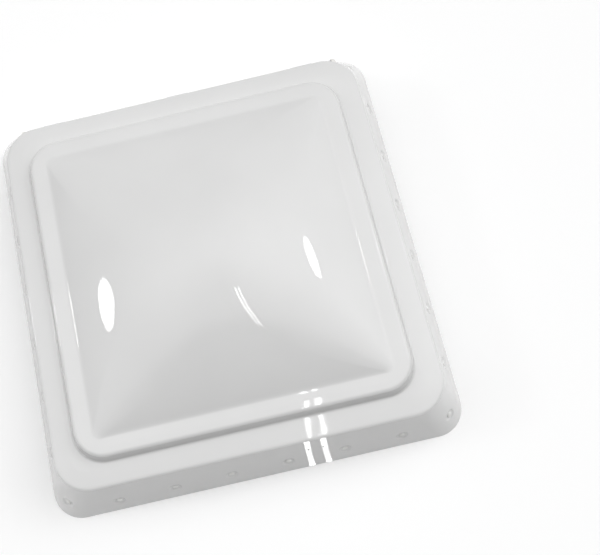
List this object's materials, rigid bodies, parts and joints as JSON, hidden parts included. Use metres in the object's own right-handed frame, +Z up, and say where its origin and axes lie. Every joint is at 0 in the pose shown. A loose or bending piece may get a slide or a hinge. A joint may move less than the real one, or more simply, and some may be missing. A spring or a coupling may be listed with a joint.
{
  "type": "roof vent cover",
  "caption": "Lift-up square roof vent lid: moulded pyramid-dome shell with stepped ledges and flared skirt, riveted inner frame, seal, rear hinge and lift shoe.",
  "frame": {"origin": "on the plane that the rim rests on, under the middle of the whole part's outline", "axes": "+Z up out of the dome, +Y towards the hinge edge, +X to the right along the front edge"},
  "size_m": [0.417, 0.4242, 0.1125],
  "materials": {
    "white_shell": "glossy moulded polypropylene, slightly warm white",
    "hinge_plastic": "satin moulded plastic, off white",
    "frame_aluminium": "mill-finish rolled strip",
    "seal_foam": "closed-cell foam tape, matt",
    "zinc_steel": "zinc-plated steel",
    "spring_steel": "bare spring steel",
    "nylon": "natural nylon",
    "rivet_white": "white-painted aluminium rivet"
  },
  "bodies": {
    "leaf": {"hinge_leaf": "zinc_steel"},
    "lid": {"clip_peg": "hinge_plastic", "corner_bracket_front_left": "frame_aluminium", "corner_bracket_front_right": "frame_aluminium", "corner_bracket_rear_left": "frame_aluminium", "corner_bracket_rear_right": "frame_aluminium", "corner_rivets": "rivet_white", "dome_shell": "white_shell", "front_rail": "frame_aluminium", "front_rivets": "rivet_white", "hinge_bar_centre": "zinc_steel", "hinge_bar_left": "zinc_steel", "hinge_bar_right": "zinc_steel", "hinge_rail": "hinge_plastic", "left_rail": "frame_aluminium", "left_rivets": "rivet_white", "lift_track": "zinc_steel", "rear_rivets": "rivet_white", "right_rail": "frame_aluminium", "right_rivets": "rivet_white", "seal_front": "seal_foam", "seal_left": "seal_foam", "seal_rear": "seal_foam", "seal_right": "seal_foam", "track_screws": "zinc_steel"},
    "clip": {"turn_clip": "spring_steel"},
    "slider": {"arm_pin": "zinc_steel", "slider_shoe": "nylon"}
  },
  "joints": [
    {"name": "lid_hinge", "type": "hinge", "parent": "leaf", "child": "lid", "pos_m": [0, 0.20736, 0.0048], "axis": [-1, 0, 0], "range_deg": [0, 85]},
    {"name": "clip_turn", "type": "hinge", "parent": "lid", "child": "clip", "pos_m": [0.016, 0.19479, 0.013], "axis": [0, 0.9621, 0.2726], "range_deg": [0, 90]},
    {"name": "shoe_slide", "type": "slide", "parent": "lid", "child": "slider", "axis": [1, 0, 0], "range_m": [-0.0275, 0.0275]}
  ]
}
